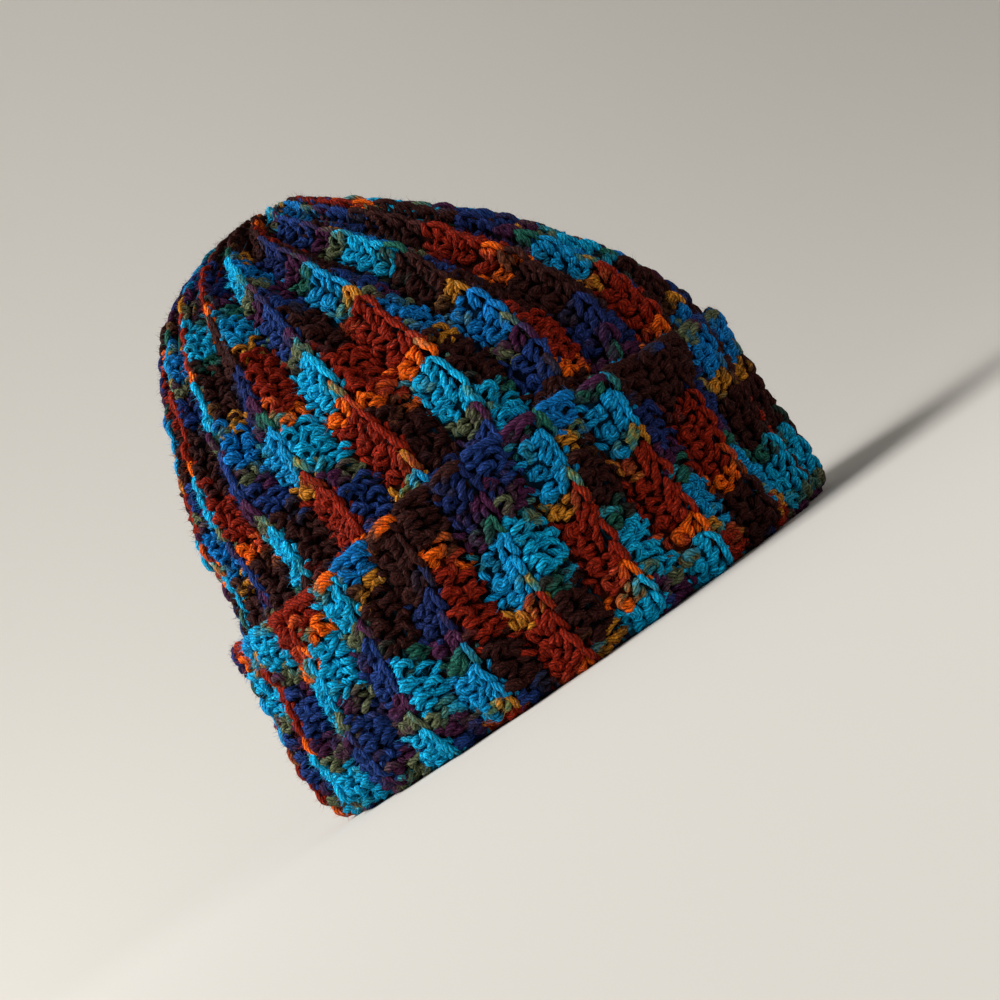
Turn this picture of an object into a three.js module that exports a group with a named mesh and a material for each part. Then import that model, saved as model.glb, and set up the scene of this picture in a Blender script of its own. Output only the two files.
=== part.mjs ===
import * as THREE from 'three';

// Sizes in millimetres.
// X runs from the back of the head to the forehead, Y to the wearer's left and Z up.
// The hat stands on its folded rim, with the middle of its outline over the origin.
const hatLength = 226;
const hatWidth = 190;
const hatHeight = 207;
const cuffHeight = 79;
const fabricThickness = 4;
const cuffRibDepth = 5;
const ridgeThickening = 2;
const bodyRibDepth = 7.5;
const hiddenRibDepth = 2.5;
const foldHeight = 8;
const rimInset = 5;
const rimFlatWidth = 7;
const edgeRounding = 1.2;
const gatherRadius = 6.5;
const gatherYarnThickness = 4.2;
const gatherSink = 1.5;

// Left between pieces that press on each other in the worn hat.
const clearance = 0.3;

// A rib is two rows of crochet that meet in a ridge.
// Each rib is drawn in a few steps, from one ridge to the next.
const ribCount = 24;
const ribWave = [1, 0.7, 0.3, 0, 0.3, 0.7];
const stepsPerRib = ribWave.length;
const columnCount = ribCount * stepsPerRib;
const yarnRingSides = 8;
const yarnRingSteps = 24;

// Outside of the cuff, from its free edge down to the fold.
// height is a share of the cuff's height, shift of the hat's length.
// reach is a share of the hat's half length and half width, ribs a share of the cuff's rib depth.
const cuffRows = [
  { height: 1.00, shift: 0.015, reach: 0.976, ribs: 0.30 },
  { height: 0.94, shift: 0.015, reach: 0.989, ribs: 0.45 },
  { height: 0.72, shift: 0.012, reach: 0.987, ribs: 0.80 },
  { height: 0.50, shift: 0.005, reach: 0.992, ribs: 1.00 },
  { height: 0.25, shift: 0.003, reach: 0.997, ribs: 1.00 },
  { height: 0.07, shift: 0.010, reach: 0.979, ribs: 0.80 },
];

// The free edge of the cuff rises and falls as it goes round.
// angle is in degrees from the wearer's right ear towards the forehead, height a share of the cuff's height.
const edgeRows = [
  { angle: -135, height: 0.95 },
  { angle: -90, height: 0.96 },
  { angle: -40, height: 0.93 },
  { angle: 0, height: 1.00 },
  { angle: 45, height: 0.96 },
  { angle: 90, height: 1.00 },
  { angle: 140, height: 0.96 },
  { angle: 180, height: 0.99 },
];

// Outside of the crown above the cuff, up to the gather.
// height is a share of the hat's height and shift of its length.
// length and width are shares of the half length and half width.
// ribs is a share of the body's rib depth, wall of the fabric's thickness.
// spread is how much wider the ribs lie over the ears than at the forehead.
const crownRows = [
  { height: 0.412, shift: 0.024, length: 0.923, width: 0.897, ribs: 0.72, wall: 1.00, spread: 0.06 },
  { height: 0.480, shift: 0.019, length: 0.897, width: 0.874, ribs: 0.80, wall: 1.00, spread: 0.14 },
  { height: 0.549, shift: 0.005, length: 0.867, width: 0.847, ribs: 0.84, wall: 1.02, spread: 0.19 },
  { height: 0.613, shift: -0.006, length: 0.815, width: 0.805, ribs: 0.88, wall: 1.05, spread: 0.20 },
  { height: 0.672, shift: -0.017, length: 0.758, width: 0.758, ribs: 0.94, wall: 1.10, spread: 0.21 },
  { height: 0.730, shift: -0.026, length: 0.690, width: 0.700, ribs: 0.98, wall: 1.15, spread: 0.22 },
  { height: 0.784, shift: -0.041, length: 0.628, width: 0.642, ribs: 1.00, wall: 1.20, spread: 0.22 },
  { height: 0.833, shift: -0.054, length: 0.559, width: 0.574, ribs: 1.00, wall: 1.25, spread: 0.22 },
  { height: 0.877, shift: -0.066, length: 0.489, width: 0.505, ribs: 0.94, wall: 1.35, spread: 0.20 },
  { height: 0.917, shift: -0.073, length: 0.418, width: 0.437, ribs: 0.86, wall: 1.45, spread: 0.18 },
  { height: 0.947, shift: -0.071, length: 0.345, width: 0.363, ribs: 0.74, wall: 1.60, spread: 0.15 },
  { height: 0.974, shift: -0.058, length: 0.264, width: 0.285, ribs: 0.56, wall: 1.75, spread: 0.10 },
  { height: 0.993, shift: -0.041, length: 0.172, width: 0.192, ribs: 0.36, wall: 1.90, spread: 0.05 },
];
const gatherShift = -0.032;
const gatherWall = 2;

// The inside needs fewer rings: it has one at every second row of the outside, and one at the gather.
const rowsPerInsideRing = 2;

const halfLength = hatLength / 2;
const halfWidth = hatWidth / 2;
const edgeRow = cuffRows[0];
const topRow = cuffRows[1];
const middleRow = cuffRows[3];
const foldRow = cuffRows[5];

// Height of the cuff's free edge at an angle, taken smoothly between the rows of its table.
function edgeHeightAt(degrees) {
  const turn = ((degrees + 180) % 360 + 360) % 360 - 180;
  const last = edgeRows.length - 1;
  for (let index = 0; index <= last; index += 1) {
    const from = edgeRows[index];
    const to = edgeRows[(index + 1) % edgeRows.length];
    const gap = ((to.angle - from.angle) % 360 + 360) % 360;
    const along = ((turn - from.angle) % 360 + 360) % 360;
    if (along <= gap) {
      const part = along / gap;
      const eased = part * part * (3 - 2 * part);
      return from.height + (to.height - from.height) * eased;
    }
  }
  return edgeRows[0].height;
}

// Angle of a column, from the wearer's right ear towards the forehead.
function columnAngle(column, spread) {
  const even = 2 * Math.PI * column / columnCount;
  return even + 0.5 * spread * Math.sin(2 * even);
}

// Height of the wave at a column, 1 on a ridge of the cuff and 0 in its valley.
// The turned-up cuff shows the other side of the fabric, so the body's ridges stand in the cuff's valleys.
function waveAt(column) {
  return ribWave[column % stepsPerRib];
}

// Point of an oval section and the level direction that leaves it squarely.
function ovalPoint(angle, length, width, shift, height) {
  const point = new THREE.Vector3(shift + length * Math.sin(angle), -width * Math.cos(angle), height);
  const outward = new THREE.Vector3(Math.sin(angle) / length, -Math.cos(angle) / width, 0).normalize();
  return { point, outward };
}

// Closed skin through a loop of rings that all have the same number of points.
function skinThroughRings(rings) {
  const positions = [];
  const index = [];
  const count = rings[0].length;
  rings.forEach((ring) => ring.forEach((point) => positions.push(point.x, point.y, point.z)));
  rings.forEach((ring, row) => {
    const next = (row + 1) % rings.length;
    for (let column = 0; column < count; column += 1) {
      const side = (column + 1) % count;
      const a = row * count + column;
      const b = row * count + side;
      const c = next * count + side;
      const d = next * count + column;
      index.push(a, d, c, a, c, b);
    }
  });
  const geometry = new THREE.BufferGeometry();
  geometry.setAttribute('position', new THREE.Float32BufferAttribute(positions, 3));
  geometry.setIndex(index);
  geometry.computeVertexNormals();
  return geometry;
}

// Ring of the cuff, or of the fabric just inside it.
// It is set in from the cuff's ridges by a distance that depends on the wave.
function cuffRing(row, insetFromWave, heightFromEdge) {
  const ring = [];
  for (let column = 0; column < columnCount; column += 1) {
    const angle = columnAngle(column, 0);
    const edge = cuffHeight * edgeHeightAt(THREE.MathUtils.radToDeg(angle));
    const oval = ovalPoint(angle, halfLength * row.reach, halfWidth * row.reach, hatLength * row.shift, 0);
    const inset = insetFromWave(waveAt(column));
    const point = oval.point.addScaledVector(oval.outward, -inset);
    point.z = heightFromEdge(edge);
    ring.push(point);
  }
  return ring;
}

// Distances in from the cuff's ridges to its outer face, its back and the two faces of the body behind it.
// The fabric is thicker behind a ridge, and the body's ribs are pressed flatter where the cuff covers them.
function cuffFaceInset(row, wave) {
  return cuffRibDepth * row.ribs * (1 - wave);
}

function cuffBackInset(row, wave) {
  return cuffFaceInset(row, wave) + fabricThickness + ridgeThickening * row.ribs * wave;
}

function bodyFaceInset(row, wave) {
  const behindValley = cuffRibDepth * row.ribs + fabricThickness + clearance;
  return behindValley + hiddenRibDepth * wave;
}

function bodyBackInset(row, wave) {
  return bodyFaceInset(row, wave) + fabricThickness;
}

// The turned-up band: outer face, flat rim, the fold that carries the body, and the back of the band.
function buildCuff() {
  const rings = [];
  cuffRows.forEach((row) => {
    rings.push(cuffRing(row, (wave) => cuffFaceInset(row, wave), (edge) => edge * row.height));
  });
  rings.push(cuffRing(foldRow, () => rimInset, () => 0));
  rings.push(cuffRing(foldRow, () => rimInset + rimFlatWidth, () => 0));
  rings.push(cuffRing(foldRow, (wave) => bodyBackInset(foldRow, wave), () => foldHeight));
  rings.push(cuffRing(foldRow, (wave) => cuffBackInset(foldRow, wave), () => foldHeight));
  [middleRow, topRow].forEach((row) => {
    rings.push(cuffRing(row, (wave) => cuffBackInset(row, wave), (edge) => edge * row.height));
  });
  const edgeBack = fabricThickness - edgeRounding;
  rings.push(cuffRing(edgeRow, (wave) => cuffFaceInset(edgeRow, wave) + edgeBack, (edge) => edge));
  return skinThroughRings(rings);
}

// Points and square directions of one crown row, before the ribs are pressed in.
function crownOutline(row) {
  const outline = [];
  for (let column = 0; column < columnCount; column += 1) {
    const angle = columnAngle(column, row.spread);
    const length = halfLength * row.length;
    const width = halfWidth * row.width;
    outline.push(ovalPoint(angle, length, width, hatLength * row.shift, hatHeight * row.height));
  }
  return outline;
}

// The dome: two skins of ribbed fabric that run from the fold to the gather.
function buildBody() {
  const outside = [];
  const inside = [];
  const seats = [
    { row: foldRow, inside: true, heightFromEdge: () => foldHeight + clearance },
    { row: middleRow, inside: false, heightFromEdge: (edge) => edge * middleRow.height },
    { row: topRow, inside: true, heightFromEdge: (edge) => edge * topRow.height },
  ];
  seats.forEach((seat) => {
    outside.push(cuffRing(seat.row, (wave) => bodyFaceInset(seat.row, wave), seat.heightFromEdge));
    if (seat.inside) {
      inside.push(cuffRing(seat.row, (wave) => bodyBackInset(seat.row, wave), seat.heightFromEdge));
    }
  });

  const gatherRow = {
    height: 1,
    shift: gatherShift,
    length: gatherRadius / halfLength,
    width: gatherRadius / halfWidth,
    ribs: 0,
    wall: gatherWall,
    spread: 0,
  };
  const rows = [...crownRows, gatherRow];
  const outlines = rows.map(crownOutline);
  rows.forEach((row, place) => {
    const ringOutside = [];
    const ringInside = [];
    const below = outlines[Math.max(place - 1, 0)];
    const above = outlines[Math.min(place + 1, rows.length - 1)];
    for (let column = 0; column < columnCount; column += 1) {
      const { point, outward } = outlines[place][column];
      const climb = above[column].point.clone().sub(below[column].point);
      const level = climb.dot(outward);
      const square = outward.clone().multiplyScalar(climb.z);
      square.z = -level;
      square.normalize();
      if (row === gatherRow) {
        square.set(0, 0, 1);
      }
      const groove = bodyRibDepth * row.ribs * waveAt(column);
      const face = point.clone().addScaledVector(square, -groove);
      ringOutside.push(face);
      ringInside.push(face.clone().addScaledVector(square, -fabricThickness * row.wall));
    }
    outside.push(ringOutside);
    if (place % rowsPerInsideRing === 0 || row === gatherRow) {
      inside.push(ringInside);
    }
  });
  return skinThroughRings([...outside.reverse(), ...inside]);
}

// The yarn that draws the top rows together, a closed ring sunk in the gather.
function buildGatherYarn() {
  const radius = gatherYarnThickness / 2;
  const ringRadius = gatherRadius - clearance - radius;
  const geometry = new THREE.TorusGeometry(ringRadius, radius, yarnRingSides, yarnRingSteps);
  geometry.translate(hatLength * gatherShift, 0, hatHeight - radius - gatherSink);
  return geometry;
}

// Middle of the cuff's outline, which is the middle of the whole hat.
function outlineMiddle(geometry) {
  geometry.computeBoundingBox();
  const middle = new THREE.Vector3();
  geometry.boundingBox.getCenter(middle);
  return middle;
}

function namedMesh(name, geometry, material) {
  const mesh = new THREE.Mesh(geometry, material);
  mesh.name = name;
  return mesh;
}

const yarnMaterial = new THREE.MeshStandardMaterial({ color: 0x1e7f96, roughness: 0.95, metalness: 0 });
const cuffMaterial = new THREE.MeshStandardMaterial({ color: 0x6b2a1f, roughness: 0.95, metalness: 0 });
const gatherMaterial = new THREE.MeshStandardMaterial({ color: 0x3a2a4c, roughness: 0.95, metalness: 0 });

const cuff = buildCuff();
const body = buildBody();
const gatherYarn = buildGatherYarn();
const middle = outlineMiddle(cuff);
[cuff, body, gatherYarn].forEach((geometry) => geometry.translate(-middle.x, -middle.y, 0));

const hat = new THREE.Group();
hat.name = 'crochet_beanie';
hat.add(namedMesh('body', body, yarnMaterial));
hat.add(namedMesh('cuff', cuff, cuffMaterial));
hat.add(namedMesh('gather_yarn', gatherYarn, gatherMaterial));

export default hat;
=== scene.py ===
import math

import bpy
import numpy as np
from mathutils import Matrix, Vector


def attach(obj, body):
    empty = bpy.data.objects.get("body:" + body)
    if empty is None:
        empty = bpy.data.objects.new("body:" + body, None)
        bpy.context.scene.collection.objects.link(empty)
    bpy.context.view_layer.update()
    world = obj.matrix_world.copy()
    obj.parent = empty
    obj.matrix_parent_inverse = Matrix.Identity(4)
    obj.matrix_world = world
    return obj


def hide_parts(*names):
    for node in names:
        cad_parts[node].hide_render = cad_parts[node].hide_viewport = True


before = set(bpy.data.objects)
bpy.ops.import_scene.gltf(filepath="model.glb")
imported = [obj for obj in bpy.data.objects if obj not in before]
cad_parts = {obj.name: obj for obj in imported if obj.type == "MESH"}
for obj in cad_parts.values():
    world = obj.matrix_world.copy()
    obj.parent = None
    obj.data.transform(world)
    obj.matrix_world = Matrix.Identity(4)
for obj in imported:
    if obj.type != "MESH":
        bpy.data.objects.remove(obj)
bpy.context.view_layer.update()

mm = 0.001

cameraView = {
    "distance": 0.570,       # from the hat's axis
    "eyeHeight": 0.031,      # above the floor
    "sideways": 0.0059,
    "pitch": 3.5,            # degrees, looking slightly up
    "lean": 34.73,           # degrees that the hat leans to the left in the picture
    "lens": 54.0,
}


def rowsOf(names, rows):
    # table rows as dictionaries, with the columns' names given once
    return [dict(zip(names.split(), row)) for row in rows]


def addCamera(view):
    pitch = math.radians(view["pitch"])
    lean = math.radians(view["lean"])
    forward = Vector((0.0, math.cos(pitch), math.sin(pitch)))
    level = Vector((1.0, 0.0, 0.0))
    upright = level.cross(forward)
    right = level * math.cos(lean) - upright * math.sin(lean)
    up = level * math.sin(lean) + upright * math.cos(lean)
    data = bpy.data.cameras.new("camera")
    data.lens = view["lens"]
    data.sensor_width = 36.0
    data.clip_start = 0.01
    camera = bpy.data.objects.new("camera", data)
    place = Matrix.Translation((view["sideways"], -view["distance"], view["eyeHeight"]))
    camera.matrix_world = place @ Matrix((right, up, -forward)).transposed().to_4x4()
    bpy.context.scene.collection.objects.link(camera)
    bpy.context.scene.camera = camera


addCamera(cameraView)
print("camera placed")


class Wire:
    # one value on a node board, so that shader sums read as plain Python
    def __init__(self, board, socket):
        self.board = board
        self.socket = socket

    def __add__(self, other):
        return self.board.maths("ADD", self, other)

    def __radd__(self, other):
        return self.board.maths("ADD", other, self)

    def __sub__(self, other):
        return self.board.maths("SUBTRACT", self, other)

    def __rsub__(self, other):
        return self.board.maths("SUBTRACT", other, self)

    def __mul__(self, other):
        return self.board.maths("MULTIPLY", self, other)

    def __rmul__(self, other):
        return self.board.maths("MULTIPLY", other, self)

    def __truediv__(self, other):
        return self.board.maths("DIVIDE", self, other)

    def __pow__(self, other):
        return self.board.maths("POWER", self, other)


class Board:
    def __init__(self, tree):
        self.tree = tree

    def node(self, kind, settings=None, sockets=None):
        made = self.tree.nodes.new(kind)
        for name, value in (settings or {}).items():
            if name == "stops":
                ramp = made.color_ramp
                while len(ramp.elements) > 1:
                    ramp.elements.remove(ramp.elements[-1])
                for place, (position, colour) in enumerate(value):
                    stop = ramp.elements[0] if place == 0 else ramp.elements.new(position)
                    stop.position = position
                    stop.color = (*colour, 1.0)
            else:
                setattr(made, name, value)
        for key, value in (sockets or {}).items():
            if isinstance(value, Wire):
                value = value.socket
            elif isinstance(value, bpy.types.Node):
                value = value.outputs[0]
            if isinstance(value, bpy.types.NodeSocket):
                self.tree.links.new(value, made.inputs[key])
            else:
                made.inputs[key].default_value = value
        return made

    def wire(self, made, output=0):
        return Wire(self, made.outputs[output])

    def maths(self, operation, first, second=0.0):
        return self.wire(self.node("ShaderNodeMath", {"operation": operation}, {0: first, 1: second}))

    def clamped(self, value):
        return self.maths("MINIMUM", self.maths("MAXIMUM", value, 0.0), 1.0)

    def mixColour(self, factor, first, second, blend="MIX"):
        made = self.node("ShaderNodeMix", {"data_type": "RGBA", "blend_type": blend, "clamp_factor": True},
                         {0: factor, 6: first, 7: second})
        return self.wire(made, 2)

    def shaded(self, tone, shade):
        grey = self.node("ShaderNodeCombineColor", None, {0: shade, 1: shade, 2: shade})
        return self.mixColour(1.0, tone, grey, "MULTIPLY")

    def attribute(self, name, output="Fac"):
        return self.wire(self.node("ShaderNodeAttribute", {"attribute_name": name}), output)

    def objectSpot(self):
        return self.wire(self.node("ShaderNodeTexCoord"), "Object")

    def noise(self, spot, scale, detail, roughness=0.5):
        return self.wire(self.node("ShaderNodeTexNoise", None, {
            "Vector": spot, "Scale": scale, "Detail": detail, "Roughness": roughness}))

    def surface(self, values):
        made = self.node("ShaderNodeBsdfPrincipled", None, values)
        self.node("ShaderNodeOutputMaterial", None, {0: made})

    def vectorMaths(self, operation, sockets):
        return self.node("ShaderNodeVectorMath", {"operation": operation}, sockets)

    def randomPush(self, seed, amount):
        push = self.node("FunctionNodeRandomValue", {"data_type": "FLOAT_VECTOR"},
                         {0: (-1.0, -1.0, -1.0), 1: (1.0, 1.0, 1.0), "Seed": seed})
        return self.vectorMaths("SCALE", {0: push, "Scale": amount})

    def handOn(self, made, material):
        # instances made real, dressed and given out of the tree
        real = self.node("GeometryNodeRealizeInstances", None, {"Geometry": made})
        dressed = self.node("GeometryNodeSetMaterial", None, {"Geometry": real, "Material": material})
        self.node("NodeGroupOutput", None, {0: dressed})


def newMaterial(name):
    material = bpy.data.materials.new(name)
    material.use_nodes = True
    material.node_tree.nodes.clear()
    return material, Board(material.node_tree)


def newTree(name, inputs):
    # Geometry Nodes tree with named inputs
    tree = bpy.data.node_groups.new(name, "GeometryNodeTree")
    inputs = [("Geometry", "Geometry")] + inputs
    for title, kind in inputs:
        tree.interface.new_socket(title, in_out="INPUT", socket_type="NodeSocket" + kind)
    tree.interface.new_socket("Geometry", in_out="OUTPUT", socket_type="NodeSocketGeometry")
    board = Board(tree)
    entry = board.node("NodeGroupInput")
    return tree, board, {title: board.wire(entry, title) for title, kind in inputs}


def lengthsAlong(away, up):
    return np.concatenate([[0.0], np.cumsum(np.hypot(np.diff(away), np.diff(up)))])


hat = {
    "length": 226 * mm,
    "width": 190 * mm,
    "height": 207 * mm,
    "cuffHeight": 79 * mm,
    "fabricThickness": 4 * mm,
    "cuffRibDepth": 5 * mm,
    "bodyRibDepth": 7.5 * mm,
    "ribs": 24,
    "leftShare": 0.44,       # share of a rib that lies on the left of its ridge
}

# height is a share of the hat's height, shift of its length, length and width of the half sizes,
# ribs of the rib depth, wall of the fabric's thickness; spread widens the ribs over the ears
crownRows = rowsOf("height shift length width ribs wall spread", [
    (0.290, 0.013, 0.922, 0.910, 0.33, 1.00, 0.00), (0.360, 0.016, 0.931, 0.918, 0.36, 1.00, 0.02),
    (0.412, 0.024, 0.923, 0.897, 0.72, 1.00, 0.06), (0.480, 0.019, 0.897, 0.874, 0.80, 1.00, 0.14),
    (0.549, 0.005, 0.867, 0.847, 0.84, 1.02, 0.19), (0.613, -0.006, 0.815, 0.805, 0.88, 1.05, 0.20),
    (0.672, -0.017, 0.758, 0.758, 0.94, 1.10, 0.21), (0.730, -0.026, 0.690, 0.700, 0.98, 1.15, 0.22),
    (0.784, -0.041, 0.628, 0.642, 1.00, 1.20, 0.22), (0.833, -0.054, 0.559, 0.574, 1.00, 1.25, 0.22),
    (0.877, -0.066, 0.489, 0.505, 0.94, 1.35, 0.20), (0.917, -0.073, 0.418, 0.437, 0.86, 1.45, 0.18),
    (0.947, -0.071, 0.345, 0.363, 0.74, 1.60, 0.15), (0.974, -0.058, 0.264, 0.285, 0.56, 1.75, 0.10),
    (0.993, -0.041, 0.172, 0.192, 0.36, 1.90, 0.05), (1.000, -0.032, 0.058, 0.068, 0.00, 2.00, 0.00)])

# height is a share of the cuff's height, reach of the half sizes, inset a distance in from there
cuffRows = rowsOf("height shift reach inset ribs", [
    (0.00, 0.010, 0.979, 12.0 * mm, 0.10), (0.00, 0.010, 0.979, 5.0 * mm, 0.35),
    (0.07, 0.010, 0.979, 0.0, 0.80), (0.25, 0.003, 0.997, 0.0, 1.00), (0.50, 0.005, 0.992, 0.0, 1.00),
    (0.72, 0.012, 0.987, 0.0, 0.80), (0.94, 0.015, 0.989, 0.0, 0.45), (1.00, 0.015, 0.976, 0.0, 0.30)])

# rise and fall of the cuff's free edge, angle in degrees from the right ear towards the forehead
edgeRows = rowsOf("angle height", [
    (-180, 0.99), (-135, 0.95), (-90, 0.96), (-40, 0.93), (0, 1.00), (45, 0.96), (90, 1.00),
    (140, 0.96), (180, 0.99)])

reachFront = max(hat["length"] * (row["shift"] + 0.5 * row["reach"]) for row in cuffRows)
reachBack = min(hat["length"] * (row["shift"] - 0.5 * row["reach"]) for row in cuffRows)
outlineMiddle = 0.5 * (reachFront + reachBack)


def smoothColumns(rows, radiusOf, heightOf, count=700):
    # smooth curve through the rows, then stepped evenly along its own length
    radius = np.array([radiusOf(row) for row in rows])
    height = np.array([heightOf(row) for row in rows])
    key = lengthsAlong(radius, height)
    dense = np.linspace(0.0, key[-1], count)
    place = np.clip(np.searchsorted(key, dense, side="right") - 1, 0, len(key) - 2)
    span = key[place + 1] - key[place]
    t = (dense - key[place]) / span
    square, cube = t ** 2, t ** 3

    def curve(values):
        values = np.array(values, dtype=float)
        slope = np.gradient(values, key)
        return ((2 * cube - 3 * square + 1) * values[place] + (cube - 2 * square + t) * span * slope[place]
                + (3 * square - 2 * cube) * values[place + 1] + (cube - square) * span * slope[place + 1])

    away = curve(radius)
    length = lengthsAlong(away, curve(height))
    return {"grid": length / length[-1], "fabricLength": length[-1], "radius": away,
            **{name: curve([row[name] for row in rows]) for name in rows[0]}}


def easedEdge(angle):
    # height share of the cuff's edge
    degrees = (np.degrees(angle) + 180.0) % 360.0 - 180.0
    angles = np.array([row["angle"] for row in edgeRows], dtype=float)
    heights = np.array([row["height"] for row in edgeRows])
    place = np.clip(np.searchsorted(angles, degrees, side="right") - 1, 0, len(angles) - 2)
    t = (degrees - angles[place]) / (angles[place + 1] - angles[place])
    t = t * t * (3 - 2 * t)
    return heights[place] + (heights[place + 1] - heights[place]) * t


bodyCloth = smoothColumns(
    crownRows, lambda row: 0.25 * (row["length"] * hat["length"] + row["width"] * hat["width"]),
    lambda row: row["height"] * hat["height"])
cuffCloth = smoothColumns(
    cuffRows, lambda row: 0.25 * row["reach"] * (hat["length"] + hat["width"]) - row["inset"],
    lambda row: row["height"] * hat["cuffHeight"])


def ridgeWave(across):
    # 1 on the ridge, 0 in the valleys
    return 0.5 + 0.5 * np.cos(math.pi * (across - 1.0))


def onOval(angle, shift, halfLength, halfWidth, height):
    # point round the head, angle 0 faces the camera
    return np.stack([shift - outlineMiddle + halfLength * np.sin(angle), -halfWidth * np.cos(angle),
                     height + 0 * angle], axis=-1)
bodyCloth.update(name="body", ridgeOffset=0.5, depth=hat["bodyRibDepth"])
cuffCloth.update(name="cuff", ridgeOffset=0.0, depth=hat["cuffRibDepth"])
print("cloth lengths in mm", round(bodyCloth["fabricLength"] / mm), round(cuffCloth["fabricLength"] / mm))


def column(cloth, name, along):
    return np.interp(along, cloth["grid"], cloth[name])


def ribAngle(rib, across, cloth):
    # across runs from 0 in the left valley over 1 on the ridge to 2 in the right valley
    pitch = 2 * math.pi / hat["ribs"]
    side = np.where(across < 1.0, hat["leftShare"], 1.0 - hat["leftShare"])
    return pitch * (rib + cloth["ridgeOffset"] + (across - 1.0) * side)


def envelope(cloth, angle, along):
    # point on the skin that the ridges touch
    along = np.clip(along, 0.0, 1.0)
    shift = column(cloth, "shift", along) * hat["length"]
    if cloth["name"] == "body":
        turned = angle + 0.5 * column(cloth, "spread", along) * np.sin(2 * angle)
        return onOval(turned, shift, 0.5 * hat["length"] * column(cloth, "length", along),
                      0.5 * hat["width"] * column(cloth, "width", along),
                      hat["height"] * column(cloth, "height", along))
    reach, inset = column(cloth, "reach", along), column(cloth, "inset", along)
    height = np.maximum(hat["cuffHeight"] * column(cloth, "height", along) * easedEdge(angle), 0.0)
    return onOval(angle, shift, 0.5 * hat["length"] * reach - inset,
                  0.5 * hat["width"] * reach - inset, height)


def unit(vectors):
    return vectors / np.maximum(np.linalg.norm(vectors, axis=-1, keepdims=True), 1e-12)


def squareTo(function, first, second, stepFirst, stepSecond):
    # direction square to a surface given by a function of two values
    acrossWay = function(first + stepFirst, second) - function(first - stepFirst, second)
    lowSecond, highSecond = np.maximum(second - stepSecond, 0.0), np.minimum(second + stepSecond, 1.0)
    alongWay = function(first, highSecond) - function(first, lowSecond)
    return unit(np.cross(acrossWay, alongWay))


def clothPoint(cloth, rib, across, along):
    # point on the ribbed fabric
    along = np.clip(along, 0.0, 1.0)
    angle = ribAngle(rib, across, cloth)
    point = envelope(cloth, angle, along)
    out = squareTo(lambda a, s: envelope(cloth, a, s), angle, along, 0.004, 0.004)
    depth = cloth["depth"] * column(cloth, "ribs", along) * (1.0 - ridgeWave(across))
    return point - out * depth[..., None]


def clothFrame(cloth, rib, across, along):
    along = np.clip(along, 0.0, 1.0)
    point = clothPoint(cloth, rib, across, along)
    out = squareTo(lambda x, s: clothPoint(cloth, rib, x, s), across, along, 0.03, 0.006)
    return point, out


def ribPitch(cloth, along):
    return 2 * math.pi * column(cloth, "radius", np.clip(along, 0.0, 1.0)) / hat["ribs"]


def srgb(red, green, blue):
    def straight(value):
        value /= 255.0
        return value / 12.92 if value <= 0.04045 else ((value + 0.055) / 1.055) ** 2.4
    return (straight(red), straight(green), straight(blue))


tones = {
    "turquoise": srgb(0, 184, 238),
    "lagoon": srgb(0, 158, 222),
    "azure": srgb(0, 128, 208),
    "olive": srgb(106, 114, 82),
    "green": srgb(32, 104, 88),
    "plum": srgb(76, 26, 66),
    "navy": srgb(26, 60, 130),
    "midnight": srgb(24, 44, 104),
    "brown": srgb(56, 17, 13),
    "rust": srgb(150, 30, 3),
    "orange": srgb(255, 106, 6),
    "gold": srgb(208, 134, 36),
}

# one repeat of the dyed yarn, each part with its length counted in stitches
dyeRepeat = rowsOf("part tone stitches", [
    ("blueOne", "turquoise", 2.9), ("oliveOne", "olive", 0.8), ("plumOne", "plum", 1.1),
    ("navyOne", "navy", 2.8), ("plumTwo", "plum", 0.6), ("oliveTwo", "olive", 0.7),
    ("blueTwo", "turquoise", 2.9), ("orangeOne", "orange", 1.1), ("rustOne", "rust", 3.9),
    ("goldOne", "gold", 0.7), ("blueThree", "lagoon", 2.7), ("greenOne", "green", 0.7),
    ("plumThree", "plum", 1.1), ("navyTwo", "midnight", 2.2), ("brownOne", "brown", 3.8),
    ("orangeTwo", "orange", 1.0), ("rustTwo", "rust", 3.6), ("brownTwo", "brown", 3.4),
    ("navyThree", "navy", 1.8), ("plumFour", "plum", 0.6), ("oliveThree", "olive", 0.6),
    ("blueFour", "azure", 2.7), ("goldTwo", "gold", 0.7), ("brownThree", "brown", 3.3),
    ("greenTwo", "green", 0.5)])
repeatLength = sum(entry["stitches"] for entry in dyeRepeat)
dyeMiddle = {}
reached = 0.0
for entry in dyeRepeat:
    dyeMiddle[entry["part"]] = reached + 0.5 * entry["stitches"]
    reached += entry["stitches"]

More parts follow.
